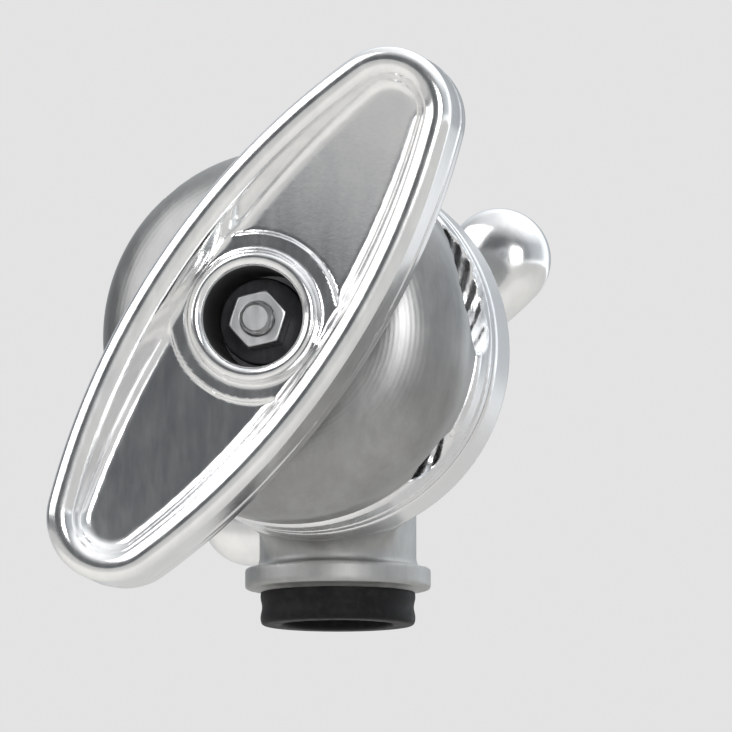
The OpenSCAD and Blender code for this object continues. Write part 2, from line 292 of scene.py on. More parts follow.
def rounded(corners):
    """A closed outline of (r, z, fillet) corners with each corner's fillet drawn as an arc."""
    outline = []
    for k, corner in enumerate(corners):
        here = Vector(corner[:2])
        back = Vector(corners[k - 1][:2]) - here
        ahead = Vector(corners[(k + 1) % len(corners)][:2]) - here
        fillet = min(corner[2], LARGEST_FILLET * back.length, LARGEST_FILLET * ahead.length)
        if fillet <= 0:
            outline.append(here)
            continue
        start = here + back.normalized() * fillet
        end = here + ahead.normalized() * fillet
        for step in range(FILLET_STEPS + 1):
            t = step / FILLET_STEPS
            outline.append(start * (1 - t)**2 + here * 2 * t * (1 - t) + end * t**2)
    return outline


def ring(inner, outer, low, high, fillets=(0.2, 0.2, 0.2, 0.2)):
    """Corners of a plain ring's section: inner low, outer low, outer high, inner high."""
    corners = (inner, low), (outer, low), (outer, high), (inner, high)
    return [(*corner, fillet) for corner, fillet in zip(corners, fillets)]


LATHE_STEPS = 128
LATHE_SHARP = 40


def lathe(name, corners, place, at=((0, 0),), **tie):
    """A turned piece: an outline of (r, z, fillet) corners spun about the frame's Z, at each (x, y)."""
    outline = rounded(corners)
    points, faces = [], []
    for x, y in at:
        faces += tube_faces(len(points), LATHE_STEPS, len(outline), closed=True)
        for step in range(LATHE_STEPS):
            turn = 2 * math.pi * step / LATHE_STEPS
            points += [(x + p[0] * math.cos(turn), y + p[0] * math.sin(turn), p[1]) for p in outline]
    return finish_piece(name, points, faces, place, sharp_angle=LATHE_SHARP, **tie)


def tube_faces(first, rings, sides, closed):
    """Quads that join each ring of points to the next; a closed tube joins its last ring to its first."""
    faces = []
    for row in range(rings if closed else rings - 1):
        here, after = first + row * sides, first + (row + 1) % rings * sides
        for side in range(sides):
            other = (side + 1) % sides
            faces.append((here + side, after + side, after + other, here + other))
    return faces


def rod_faces(rings, sides):
    """An open tube's quads, turned outward for rings that run counterclockwise, and its two ends."""
    faces = [face[::-1] for face in tube_faces(0, rings, sides, closed=False)]
    top = (rings - 1) * sides
    return faces + [tuple(range(sides - 1, -1, -1)), tuple(range(top, top + sides))]


THREAD_SIDES = 64
THREAD_ROWS = 10
THREAD_DEPTH = 0.55
FLANK_GAIN, ROOT_FLAT = 1.3, 0.12
THREAD_SHARP = 35


def threaded_rod(name, stretches, chamfer, place, **tie):
    """A rod of (from, to, radius, pitch) stretches; pitch 0 is a plain shank."""
    rows = []
    for start, end, rod_r, pitch in stretches:
        count = max(2, int((end - start) / (pitch / THREAD_ROWS))) if pitch else 4
        rows += [(start + (end - start) * k / count, rod_r, pitch) for k in range(count + 1)]
    low, high = stretches[0][0], stretches[-1][1]
    points = []
    for z, rod_r, pitch in rows:
        bevel = max(0.0, chamfer - (z - low), chamfer - (high - z))
        for side in range(THREAD_SIDES):
            turn = side / THREAD_SIDES
            ridge = abs(2 * ((z / pitch - turn) % 1) - 1) if pitch else 1
            crest = min(1.0, max(0.0, FLANK_GAIN * ridge - ROOT_FLAT))
            reach = min(rod_r - THREAD_DEPTH * pitch * (1 - crest), rod_r - bevel)
            points.append((reach * math.cos(2 * math.pi * turn), reach * math.sin(2 * math.pi * turn), z))
    faces = rod_faces(len(rows), THREAD_SIDES)
    return finish_piece(name, points, faces, place, sharp_angle=THREAD_SHARP, **tie)


# ---------------------------------------------------------------- materials
def new_material(name):
    """A material, with its node tree, its shader and the object's coordinates."""
    material = bpy.data.materials.new(name)
    material.use_nodes = True
    tree = material.node_tree
    shader = tree.nodes["Principled BSDF"]
    place = tree.nodes.new("ShaderNodeTexCoord").outputs["Object"]
    return material, tree, shader, place


def node(tree, kind, inputs=None, **settings):
    """Adds a shader node; an input that is a socket is linked, and any other is set."""
    made = tree.nodes.new("ShaderNode" + kind)
    for key, value in settings.items():
        setattr(made, key, value)
    for key, value in (inputs or {}).items():
        if isinstance(value, bpy.types.NodeSocket):
            tree.links.new(value, made.inputs[key])
        else:
            made.inputs[key].default_value = value
    return made


def calc(tree, operation, a, b=0.0):
    """One or two numbers put through a Math node, such as ADD or SINE."""
    return node(tree, "Math", {0: a, 1: b}, operation=operation).outputs[0]


def vector_calc(tree, operation, a, b):
    """Two vectors put through a Vector Math node, such as ADD or MULTIPLY."""
    return node(tree, "VectorMath", {0: a, 1: b}, operation=operation).outputs[0]


def noise(tree, place, scale, detail=4.0, rough=0.6, stretch=None):
    """Noise at so many cycles a metre, stretched along the axes by a vector."""
    if stretch:
        place = node(tree, "Mapping", {"Vector": place, "Scale": stretch}).outputs["Vector"]
    made = node(tree, "TexNoise", {"Vector": place, "Scale": scale, "Detail": detail, "Roughness": rough})
    return made.outputs["Fac"]


def ramp(tree, fac, low, high, low_value, high_value):
    """A number that goes from low_value to high_value as fac goes from low to high."""
    made = node(tree, "MapRange", {"Value": fac, "From Min": low, "From Max": high,
                                   "To Min": low_value, "To Max": high_value})
    return made.outputs["Result"]


def mix(tree, fac, a, b, data_type="RGBA"):
    """Goes from a to b as fac goes from 0 to 1."""
    return node(tree, "Mix", {"Factor": fac, "A": a, "B": b}, data_type=data_type).outputs["Result"]


def opaque(colour):
    """A red, green and blue tone with full alpha."""
    return (*colour, 1)


def bump(tree, shader, layers):
    """Stacks (height, strength, depth in millimetres) layers of bump."""
    normal = None
    for height, strength, depth in layers:
        made = node(tree, "Bump", {"Height": height, "Strength": strength, "Distance": depth * MM})
        if normal:
            tree.links.new(normal, made.inputs["Normal"])
        normal = made.outputs["Normal"]
    tree.links.new(normal, shader.inputs["Normal"])


def spindle_distance(tree, place):
    """Distance from the spindle's axis, in metres."""
    flat = vector_calc(tree, "ADD", place, (0, 0, -SPINDLE_Z * MM))
    flat = vector_calc(tree, "MULTIPLY", flat, (1, 0, 1))
    return node(tree, "VectorMath", {0: flat}, operation="LENGTH").outputs["Value"]


ZONE_EDGE = 0.05
RING_SPACING = 0.7


def painted_light_zone(tree, place, low_r, high_r, rear):
    """Where shade or a highlight is painted: 1 between two distances from the spindle's axis and forward of a
    plane, 0 elsewhere.
    """
    off = calc(tree, "SUBTRACT", spindle_distance(tree, place), (low_r + high_r) / 2 * MM)
    half = (high_r - low_r) / 2
    near = ramp(tree, calc(tree, "ABSOLUTE", off), (half - ZONE_EDGE) * MM, (half + ZONE_EDGE) * MM, 1, 0)
    along = node(tree, "SeparateXYZ", {0: place}).outputs["Y"]
    ahead = ramp(tree, along, -(rear + 2 * ZONE_EDGE) * MM, -(rear - 2 * ZONE_EDGE) * MM, 1, 0)
    return calc(tree, "MULTIPLY", near, ahead)


def metal(name, dark, light, gloss, grain, scratch=0.0, rings=0.0, painted_light=None):
    """Cast or turned metal: mottled colour, uneven gloss, grain, scratches and turning marks.

    gloss is the least and most roughness, and grain is its cycles a metre and its depth. Depths are in
    millimetres. painted_light gives a part of the piece whose colour is a painted shade or a painted
    highlight: its place, its painted tone and its roughness.
    """
    material, tree, shader, place = new_material(name)
    mottle = noise(tree, place, scale=90, detail=5)
    smear = noise(tree, place, scale=420, detail=6, rough=0.7, stretch=(1, 1, 0.25))
    fac = ramp(tree, calc(tree, "MULTIPLY", mottle, smear), 0.12, 0.42, 0, 1)
    colour = mix(tree, fac, opaque(dark), opaque(light))
    roughness = ramp(tree, smear, 0.3, 0.7, *gloss)
    if painted_light:
        # painted shade or painted highlight: inside the band the mottled colour gives way to a flat painted
        # tone
        zone_place, painted_tone, zone_roughness = painted_light
        inside = painted_light_zone(tree, place, *zone_place)
        colour = mix(tree, inside, colour, opaque((painted_tone,) * 3))
        roughness = mix(tree, inside, roughness, zone_roughness, "FLOAT")
    tree.links.new(colour, shader.inputs["Base Color"])
    tree.links.new(roughness, shader.inputs["Roughness"])
    shader.inputs["Metallic"].default_value = 1
    grain_scale, grain_depth = grain
    layers = [(noise(tree, place, grain_scale, detail=3), 0.5, grain_depth)]
    if scratch:
        lines = noise(tree, place, scale=1500, detail=2, rough=0.5, stretch=(1, 1, 0.03))
        layers.append((lines, 0.35, scratch))
    if rings:
        turning = calc(tree, "MULTIPLY", spindle_distance(tree, place), 2 * math.pi / (RING_SPACING * MM))
        layers.append((calc(tree, "SINE", turning), 0.3, rings))
    bump(tree, shader, layers)
    return material


def rubber(name):
    """Moulded rubber, black with a little dust."""
    material, tree, shader, place = new_material(name)
    dust = noise(tree, place, scale=700, detail=5)
    colour = mix(tree, ramp(tree, dust, 0.45, 0.8, 0, 1), (0.004, 0.004, 0.0045, 1), (0.02, 0.02, 0.02, 1))
    tree.links.new(colour, shader.inputs["Base Color"])
    tree.links.new(ramp(tree, dust, 0.3, 0.7, 0.45, 0.7), shader.inputs["Roughness"])
    shader.inputs["Specular IOR Level"].default_value = 0.2
    bump(tree, shader, [(noise(tree, place, scale=2500, detail=3), 0.5, 0.04)])
    return material


def fibre(name):
    """Pressed friction fibre, brown with short strands."""
    material, tree, shader, place = new_material(name)
    strands = noise(tree, place, scale=1800, stretch=(1, 0.2, 1))
    colour = mix(tree, strands, (0.09, 0.055, 0.03, 1), (0.2, 0.13, 0.08, 1))
    tree.links.new(colour, shader.inputs["Base Color"])
    tree.links.new(ramp(tree, strands, 0.3, 0.7, 0.7, 0.95), shader.inputs["Roughness"])
    bump(tree, shader, [(strands, 0.6, 0.06)])
    return material


# zones of painted light: (least radius, greatest radius, rear), painted tone, roughness
# painted shade: the counterbore in the handle's boss is coloured near black, as its depth is in shadow
COUNTERBORE_PAINTED_SHADE = (0, COUNTERBORE_R + 0.12, 50), 0.16, 0.5
# painted highlight: the base disc's rim is coloured near white for the bright studio it mirrors, with a
# glossier roughness
RIM_PAINTED_HIGHLIGHT = (JAW_R - 0.3, JAW_R + 0.3, BASE_REAR + 1.1), 0.82, 0.26

# the polished alloy also carries the counterbore's painted shade
POLISHED_AND_PAINTED_SHADE = metal("polished_cast_alloy_and_painted_shade", (0.8, 0.8, 0.81), (0.94, 0.94, 0.93), gloss=(0.12, 0.2),
                 grain=(1300, 0.012), scratch=0.006, painted_light=COUNTERBORE_PAINTED_SHADE)
# the satin alloy also carries the base disc rim's painted highlight
SATIN_AND_PAINTED_HIGHLIGHT = metal("satin_cast_alloy_and_painted_highlight", (0.35, 0.35, 0.35), (0.49, 0.49, 0.48), gloss=(0.46, 0.58),
              grain=(2200, 0.02), painted_light=RIM_PAINTED_HIGHLIGHT)
TURNED = metal("turned_cast_alloy", (0.27, 0.27, 0.27), (0.37, 0.37, 0.365), gloss=(0.32, 0.42),
               grain=(2200, 0.01), rings=0.01)
BRIGHT = metal("bright_turned_alloy", (0.7, 0.7, 0.71), (0.86, 0.86, 0.86), gloss=(0.2, 0.3),
               grain=(2200, 0.01), rings=0.01)
STEEL = metal("plated_steel", (0.62, 0.63, 0.64), (0.8, 0.8, 0.8), gloss=(0.3, 0.44),
              grain=(2600, 0.008), scratch=0.006)
WIRE = metal("spring_wire", (0.2, 0.21, 0.23), (0.34, 0.34, 0.36), gloss=(0.25, 0.4),
             grain=(3000, 0.006))
BLACKED = metal("blackened_steel", (0.03, 0.03, 0.035), (0.09, 0.09, 0.095), gloss=(0.4, 0.55),
                grain=(2600, 0.008))
RACE = metal("ground_steel", (0.6, 0.6, 0.62), (0.75, 0.75, 0.77), gloss=(0.08, 0.16),
             grain=(3000, 0.003), scratch=0.003)
BRONZE = metal("sintered_bronze", (0.36, 0.2, 0.08), (0.5, 0.3, 0.13), gloss=(0.3, 0.45),
               grain=(3000, 0.02))
BRASS = metal("turned_brass", (0.55, 0.38, 0.13), (0.72, 0.52, 0.22), gloss=(0.18, 0.32),
              grain=(2600, 0.008), scratch=0.006)
RUBBER = rubber("moulded_rubber")
FIBRE = fibre("pressed_fibre")


# ---------------------------------------------------------------- the base
SLEEVE_R = 12.0
SLEEVE_TOP = box_mm("base_casting")[0][2] + 54.0
SOCKET_R, SOCKET_TOP = 8.1, 46.0
SPIGOT_R, SPIGOT_TOP = 9.6, 5.0
LIP_R, LIP_LOW, LIP_TOP = 14.2, 3.0, 6.2
WEB_R, WEB_REAR, WEB_FRONT = 11.0, 1.0, 13.0
BOSS_R, BOSS_END = 8.5, 19.0
FRICTION_R = radius("base_friction_disc")
FRICTION_REAR = forward("base_friction_disc")[0]
SPINDLE_HOLE_REAR = 9.2
LOCK_BUSH_R, LOCK_BUSH_FROM = 6.2, 12.5
LOCK_HOLE_R, LOCK_HOLE_END = 4.45, 14.0
ROLL_PIN_AT, ROLL_PIN_R = 15.2, 1.5
ROLL_PIN_LOW, ROLL_PIN_HIGH = SPINDLE_Z - 12, SPINDLE_Z + 12
OUTSIDE = 40.0
MACHINED_EDGE = 0.1
BASE_MARGIN = 0.5


def pocket(r, z, pocket_r, low, high=OUTSIDE):
    """A machined pocket, which by default runs out past the piece."""
    return drum(r, z, pocket_r, low, high, MACHINED_EDGE)


def base_field(p):
    x, y, z = xyz(p)
    ahead = -y
    stand_r = np.hypot(x, y)
    spindle_r = np.hypot(x, z - SPINDLE_Z)
    lock_r = np.hypot(x, z - LOCK_Z)
    body = drum(stand_r, z, SLEEVE_R, LIP_LOW - 1, SLEEVE_TOP, edge=1.8)
    body = join(body, drum(stand_r, z, LIP_R, LIP_LOW, LIP_TOP, edge=0.5), blend=1.6)
    body = join(body, drum(spindle_r, ahead, WEB_R, WEB_REAR, WEB_FRONT, edge=1), blend=3)
    body = join(body, drum(lock_r, y, BOSS_R, 0, BOSS_END, edge=0.8), blend=4)
    body = join(body, drum(spindle_r, ahead, JAW_R, BASE_REAR, BASE_FRONT, edge=1.0), blend=4.5)
    body = trim(body, ahead - BASE_FRONT, blend=0.3)
    body = np.minimum(body, drum(stand_r, z, SPIGOT_R, 0, SPIGOT_TOP, edge=0.4))
    body = cut(body, drum(stand_r, z, SOCKET_R, -OUTSIDE, SOCKET_TOP, edge=0.5), blend=0.5)
    body = cut(body, pocket(spindle_r, ahead, FRICTION_R, FRICTION_REAR), blend=0.3)
    body = cut(body, pocket(spindle_r, ahead, SPINDLE_R, SPINDLE_HOLE_REAR), blend=0.3)
    body = cut(body, pocket(lock_r, y, LOCK_BUSH_R, LOCK_BUSH_FROM), blend=0.3)
    body = cut(body, pocket(lock_r, y, LOCK_HOLE_R, 0, LOCK_HOLE_END), blend=0.3)
    pin_hole = hole(np.hypot(x, ahead - ROLL_PIN_AT), ROLL_PIN_R, ROLL_PIN_LOW - z)
    return cut(body, pin_hole, blend=0.3)


RING_BORE_R = 8.5
RING_TAPER = 0.2
RING_WAIST = 0.35
RING_SHOULDER_H = 1.2
FRICTION_BORE_R = 5.36
ROLL_PIN_BORE_R = 0.9


def build_base_body():
    """The casting with its rubber ring, friction disc and the spindle's roll pin."""
    reach = JAW_R + 0.7
    cast("base_casting_shell", base_field, (-reach, -BASE_FRONT - BASE_MARGIN, -BASE_MARGIN),
         (reach, BOSS_END + 2 * BASE_MARGIN, SPINDLE_Z + reach), cell=0.5, place=STAND_FRAME,
         body="base", stands_for="base_casting", slot="cast_alloy", material=SATIN_AND_PAINTED_HIGHLIGHT)
    (_, _, low), (_, _, high) = box_mm("socket_bump_ring")
    ring_r, spigot_low = radius("socket_bump_ring"), 0.0
    lathe("bump_ring", [
        (RING_BORE_R, low, 0.5), (ring_r - RING_TAPER, low, 0.9), (ring_r, low + RING_SHOULDER_H, 0.5),
        (ring_r - RING_WAIST, mid_height("socket_bump_ring"), 0.6), (ring_r, high - RING_SHOULDER_H, 0.5),
        (ring_r - RING_TAPER, high, 0.9), (SPIGOT_R, high, 0.2), (SPIGOT_R, spigot_low, 0.2),
        (RING_BORE_R, spigot_low, 0.2)],
        STAND_FRAME, body="base", stands_for="socket_bump_ring", slot="black_rubber", material=RUBBER)
    rear, front = forward("base_friction_disc")
    lathe("friction_disc", ring(FRICTION_BORE_R, FRICTION_R, rear, front, (0.2, 0.3, 0.3, 0.2)),
          SPINDLE_FRAME, body="base", stands_for="base_friction_disc", slot="friction_fibre",
          material=FIBRE)
    lathe("roll_pin", ring(ROLL_PIN_BORE_R, ROLL_PIN_R, ROLL_PIN_LOW, ROLL_PIN_HIGH, (0.2, 0.4, 0.4, 0.2)),
          STAND_FRAME, at=((0, -ROLL_PIN_AT),),
          body="base", stands_for="spindle_roll_pin", slot="spring_steel", material=WIRE)


NECK_DOWN = 0.3
STUD_R, STUD_PITCH = 2.5, 0.8
WASHER_BORE_R = 2.6
NUT_HALF_FLATS = 4.0
NUT_BORE_R = 2.55
NUT_FACE_R = 4.3
NUT_CONE_SLOPE = 1.4
NUT_REACH = 6.5


def nut_field(p):
    """A chamfered hexagon nut with corners towards X."""
    x, y, z = xyz(p)
    low, high = forward("stop_nut")
    r = np.hypot(x, y)
    turns = [math.radians(degrees) for degrees in (0, 60, 120)]
    sides = [np.abs(math.cos(turn) * y + math.sin(turn) * x) for turn in turns]
    body = trim(np.maximum.reduce(sides) - NUT_HALF_FLATS, np.maximum(z - high, low - z), blend=0.3)
    cone = (r - NUT_FACE_R + NUT_CONE_SLOPE * (z - high)) / math.hypot(1, NUT_CONE_SLOPE)
    body = trim(body, cone, blend=0.25)
    return trim(body, NUT_BORE_R - r, blend=0.25)


def build_spindle():
    """The spindle with its stop washer and nut, and the lock screw's bush."""
    shoulder = forward("stop_washer")[0]
    rear, front = forward("centre_spindle")
    threaded_rod("spindle", [
        (rear, INNER_REAR, SPINDLE_R, 0), (INNER_REAR, shoulder - NECK_DOWN, SPINDLE_R, SPINDLE_PITCH),
        (shoulder - NECK_DOWN, shoulder, SPINDLE_R - NECK_DOWN, 0), (shoulder, front, STUD_R, STUD_PITCH)],
        chamfer=0.6, place=SPINDLE_FRAME,
        body="base", stands_for="centre_spindle", slot="steel", material=STEEL)
    rear, front = forward("stop_washer")
    lathe("washer", ring(WASHER_BORE_R, radius("stop_washer"), rear, front, (0.1, 0.3, 0.4, 0.2)),
          SPINDLE_FRAME, body="base", stands_for="stop_washer", slot="steel", material=BLACKED)
    rear, front = forward("stop_nut")
    cast("nut", nut_field, (-NUT_REACH, -NUT_REACH, rear - 0.5), (NUT_REACH, NUT_REACH, front + 0.5),
         cell=0.2, place=turned(SPINDLE_FRAME, NUT_TURN),
         body="base", stands_for="stop_nut", slot="steel", material=STEEL)
    front, rear = backward("lock_thread_bush")
    lathe("lock_bush", ring(LOCK_R + RUN_FIT, LOCK_BUSH_R, front, rear, (0.2, 0.3, 0.5, 0.4)),
          LOCK_FRAME, body="base", stands_for="lock_thread_bush", slot="brass", material=BRASS)


# ---------------------------------------------------------------- the jaws
# grooves across the jaws: (radius, offset from the spindle's axis)
SHAFT_GROOVE = (4.0, -10.5)
ROD_GROOVE = (8.0, 14.6)
TOOTH_PITCH = 1.8
TOOTH_DEPTH = 0.35
BUSH_R = radius("inner_jaw_bush")
GUIDE_R, GUIDE_AT = 2.0, 18.0
GUIDE_HOLE_END = 46.0
SPRING_POCKET_R = 6.4
POCKET_R = radius("bearing_seal_ring")
RIM_GROOVE_AT = (INNER_REAR + INNER_FRONT) / 2 - 1.5
RIM_GROOVE_W, RIM_GROOVE_DEPTH = 1.0, 0.5
DOME_FLAT_R = 14.0
RIM_H = 4.5
JAW_CELL = 0.42
JAW_MARGIN = 0.6


def grooves(x, y, ahead):
    """The two toothed grooves."""
    turn = math.radians(GROOVE_TILT)
    along = x * math.cos(turn) - y * math.sin(turn)
    across = x * math.sin(turn) + y * math.cos(turn)
    tooth = TOOTH_DEPTH * np.abs(2 * ((along / TOOTH_PITCH) % 1) - 1)
    shaft, rod = (np.hypot(across - offset, ahead - GAP_MIDDLE) - (groove_r + tooth)
                  for groove_r, offset in (SHAFT_GROOVE, ROD_GROOVE))
    return np.minimum(shaft, rod)


def guide_places():
    """Where the two guide pins are, either side of the spindle between the grooves."""
    turn = math.radians(GROOVE_TILT)
    across, up = GUIDE_AT * math.cos(turn), -GUIDE_AT * math.sin(turn)
    return (across, up), (-across, -up)


def guide_holes(x, y):
    first, second = (np.hypot(x - across, y - up) for across, up in guide_places())
    return np.minimum(first, second) - GUIDE_R


def inner_jaw_field(p):
    x, y, ahead = xyz(p)
    r = np.hypot(x, y)
    body = drum(r, ahead, JAW_R, INNER_REAR, INNER_FRONT, edge=0.9)
    rim_groove = np.maximum(np.abs(ahead - RIM_GROOVE_AT) - RIM_GROOVE_W / 2, JAW_R - RIM_GROOVE_DEPTH - r)
    body = cut(body, rim_groove, blend=0.4)
    body = cut(body, grooves(x, y, ahead), blend=0.5)
    bush = hole(r, BUSH_R, ahead - forward("inner_jaw_bush")[1])
    body = cut(body, np.minimum(r - SPRING_POCKET_R, bush), blend=0.4)
    return cut(body, guide_holes(x, y), blend=0.3)


def outer_jaw_field(p):
    x, y, ahead = xyz(p)
    r = np.hypot(x, y)
    body = drum(r, ahead, JAW_R, OUTER_REAR, OUTER_FRONT, edge=0.8)
    rise = OUTER_FRONT - OUTER_REAR - RIM_H
    dome = np.hypot(np.maximum(r - DOME_FLAT_R, 0) / (JAW_R - DOME_FLAT_R),
                    np.maximum(ahead - OUTER_REAR - RIM_H, 0) / rise)
    body = trim(body, (dome - 1) * rise, blend=0.8)
    body = cut(body, grooves(x, y, ahead), blend=0.5)
    body = cut(body, hole(r, POCKET_R, RACE_REAR - ahead), blend=0.5)
    body = cut(body, r - SPRING_POCKET_R, blend=0.4)
    body = cut(body, hole(r, BUSH_R, forward("outer_jaw_bush")[0] - ahead), blend=0.2)
    return cut(body, np.maximum(guide_holes(x, y), ahead - GUIDE_HOLE_END), blend=0.3)


def build_jaw_castings():
    reach = JAW_R + JAW_MARGIN
    for name, field, node_name, body, material in (
            ("inner_jaw_shell", inner_jaw_field, "inner_jaw", "inner_jaw_set", BRIGHT),
            ("outer_jaw_shell", outer_jaw_field, "outer_jaw", "outer_jaw_set", TURNED)):
        rear, front = forward(node_name)
        cast(name, field, (-reach, -reach, rear - JAW_MARGIN), (reach, reach, front + JAW_MARGIN),
             cell=JAW_CELL, place=SPINDLE_FRAME,
             body=body, stands_for=node_name, slot="cast_alloy", material=material)


PIN_CHAMFER = 0.8


def build_bushes_and_pins():
    for name, node_name, body in (("inner_bush", "inner_jaw_bush", "inner_jaw_set"),
                                  ("outer_bush", "outer_jaw_bush", "outer_jaw_set")):
        rear, front = forward(node_name)
        lathe(name, ring(SPINDLE_R + RUN_FIT, BUSH_R, rear, front, (0.4, 0.3, 0.3, 0.4)),
              SPINDLE_FRAME, body=body, stands_for=node_name, slot="bronze", material=BRONZE)
    rear, front = forward("jaw_guide_pins")
    lathe("guide_pins", [(0, rear, 0), (GUIDE_R, rear, 0.3), (GUIDE_R, front - PIN_CHAMFER, 0.3),
                         (GUIDE_R - PIN_CHAMFER, front, 0.3), (0, front, 0)],
          SPINDLE_FRAME, at=guide_places(),
          body="inner_jaw_set", stands_for="jaw_guide_pins", slot="steel", material=STEEL)


SPRING_WIRE_R = 0.55
SPRING_TURNS = 5
SPRING_STEPS = 36
SPRING_SIDES = 12
SEAT_BORE_R, SEAT_R = 4.9, 6.3


def build_spring():
    """The opening spring, a coil of wire, and the washer that it pushes on."""
    rear, front = forward("jaw_spring")
    coil_r = radius("jaw_spring") - SPRING_WIRE_R
    rise = front - rear - 2 * SPRING_WIRE_R
    rings = SPRING_TURNS * SPRING_STEPS
    points = []
    for row in range(rings + 1):
        turn = 2 * math.pi * row / SPRING_STEPS
        centre = rear + SPRING_WIRE_R + rise * row / rings
        for side in range(SPRING_SIDES):
            around = -2 * math.pi * side / SPRING_SIDES
            reach = coil_r + SPRING_WIRE_R * math.cos(around)
            points.append((reach * math.cos(turn), reach * math.sin(turn),
                           centre + SPRING_WIRE_R * math.sin(around)))
    spring = finish_piece("opening_spring", points, rod_faces(rings + 1, SPRING_SIDES), SPINDLE_FRAME,
                          body=None, stands_for="jaw_spring", slot="spring_steel", material=WIRE)
    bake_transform(spring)
    rear, front = forward("spring_seat_washer")
    lathe("spring_seat", ring(SEAT_BORE_R, SEAT_R, rear, front), SPINDLE_FRAME,
          body="outer_jaw_set", stands_for="spring_seat_washer", slot="steel", material=STEEL)


REAR_RACE_BORE_R, FRONT_RACE_BORE_R = 6.9, 6.6
TRACK_R, TRACK_HALF_W, TRACK_DEPTH = 9.5, 1.1, 0.12
SEAL_PLAY = 0.3


def race_outline(inner, outer, back, face):
    """A race's section, with the balls' track in its face."""
    way = 1 if face > back else -1
    corners = [(inner, back, 0.2), (outer, back, 0.25), (outer, face, 0.25),
               (TRACK_R + TRACK_HALF_W, face, 0.1), (TRACK_R, face - way * TRACK_DEPTH, 0.9),
               (TRACK_R - TRACK_HALF_W, face, 0.1), (inner, face, 0.2)]
    return corners[::way]


def build_bearing():
    """The races and the seal; the cage and the balls are kept as the CAD model has them."""
    rear, front = forward("bearing_rear_race")
    lathe("rear_race", race_outline(REAR_RACE_BORE_R, radius("bearing_rear_race"), rear, front),
          SPINDLE_FRAME, body="outer_jaw_set", stands_for="bearing_rear_race", slot="race_steel",
          material=RACE)
    rear, front = forward("bearing_front_race")
    lathe("front_race", race_outline(FRONT_RACE_BORE_R, radius("bearing_front_race"), front, rear),
          SPINDLE_FRAME, body="main_handle", stands_for="bearing_front_race", slot="race_steel",
          material=RACE)
    rear, front = forward("bearing_seal_ring")
    lathe("seal_ring", ring(HUB_R + SEAL_PLAY, POCKET_R, rear, front, (0.3, 0.3, 0.4, 0.5)),
          SPINDLE_FRAME, body="outer_jaw_set", stands_for="bearing_seal_ring", slot="black_rubber",
          material=RUBBER)


# ---------------------------------------------------------------- the main handle
HANDLE_L, HANDLE_W, HANDLE_TIP_R = 93.0, 33.0, 10.0
SIDE_DRAFT = 0.008
SEAM_AT = HANDLE_REAR + 6.0
SEAM_RISE, SEAM_W = 0.12, 0.5
RIM_W = 4.0
WALL_SLOPE = 2.4
FLOOR = HANDLE_FRONT - 6.5
FLOOR_ARCH_R = 250.0
BOSS_FRONT, BOSS_OUT_R = HANDLE_FRONT - 4.0, 10.0
BOSS_FOOT_FRONT, BOSS_FOOT_R = FLOOR + 0.9, 12.8
INSERT_R = radius("handle_thread_insert")
INSERT_REAR, INSERT_FRONT = forward("handle_thread_insert")
INSERT_NECK_R = 6.3
INSERT_RIDGE = 0.5


def oval(x, y):
    """Distance to the handle's outline: two round tips joined by shallow arcs."""
    half = HANDLE_W / 2
    tip = HANDLE_L / 2 - HANDLE_TIP_R
    arc_r = (tip**2 + half**2 - HANDLE_TIP_R**2) / (2 * (half - HANDLE_TIP_R))
    x, y = np.abs(x), np.abs(y)
    on_arc = np.arctan2(y, x + arc_r - half) < math.atan2(tip, arc_r - half)
    arc = np.hypot(x + arc_r - half, y) - arc_r
    return np.where(on_arc, arc, np.hypot(x, y - tip) - HANDLE_TIP_R)


def handle_field(p):
    x, y, ahead = xyz(p)
    r = np.hypot(x, y)
    outline = oval(x, y)
    seam = SEAM_RISE * np.exp(-(((ahead - SEAM_AT) / SEAM_W) ** 2))
    side = outline + SEAM_RISE + SIDE_DRAFT * (HANDLE_FRONT - ahead) - seam
    body = trim(trim(side, HANDLE_REAR - ahead, blend=3), ahead - HANDLE_FRONT, blend=2.2)
    inset = RIM_W + WALL_SLOPE * (HANDLE_FRONT - ahead) / (HANDLE_FRONT - FLOOR)
    floor_rise = y**2 / (2 * FLOOR_ARCH_R)
    dish = trim(outline + inset, FLOOR + floor_rise - ahead, blend=1.5)
    body = cut(body, dish, blend=2.0)
    body = join(body, drum(r, ahead, BOSS_FOOT_R, FLOOR - 2, BOSS_FOOT_FRONT, edge=0.3), blend=0.4)
    body = join(body, drum(r, ahead, BOSS_OUT_R, FLOOR - 2, BOSS_FRONT, edge=1.2), blend=0.7)
    body = join(body, drum(r, ahead, HUB_R, RACE_FRONT, HANDLE_REAR + 3, edge=0.6), blend=4)
    body = cut(body, r - COUNTERBORE_R, blend=1.6)
    body = cut(body, hole(r, INSERT_R, ahead - INSERT_FRONT), blend=0.2)
    return trim(body, RACE_FRONT - ahead, blend=0.3)


def insert_field(p):
    """The handle's threaded insert."""
    x, y, ahead = xyz(p)
    r = np.hypot(x, y)
    body = drum(r, ahead, INSERT_R, RACE_FRONT, INSERT_FRONT, edge=0.4)
    body = join(body, drum(r, ahead, INSERT_NECK_R, INSERT_REAR, RACE_FRONT + 1, edge=0.3), blend=0.3)
    turns = ahead / SPINDLE_PITCH - np.arctan2(y, x) / (2 * math.pi)
    thread = INSERT_RIDGE * np.abs(2 * (turns % 1) - 1)
    return trim(body, SPINDLE_R + RUN_FIT + thread - r, blend=0.3)


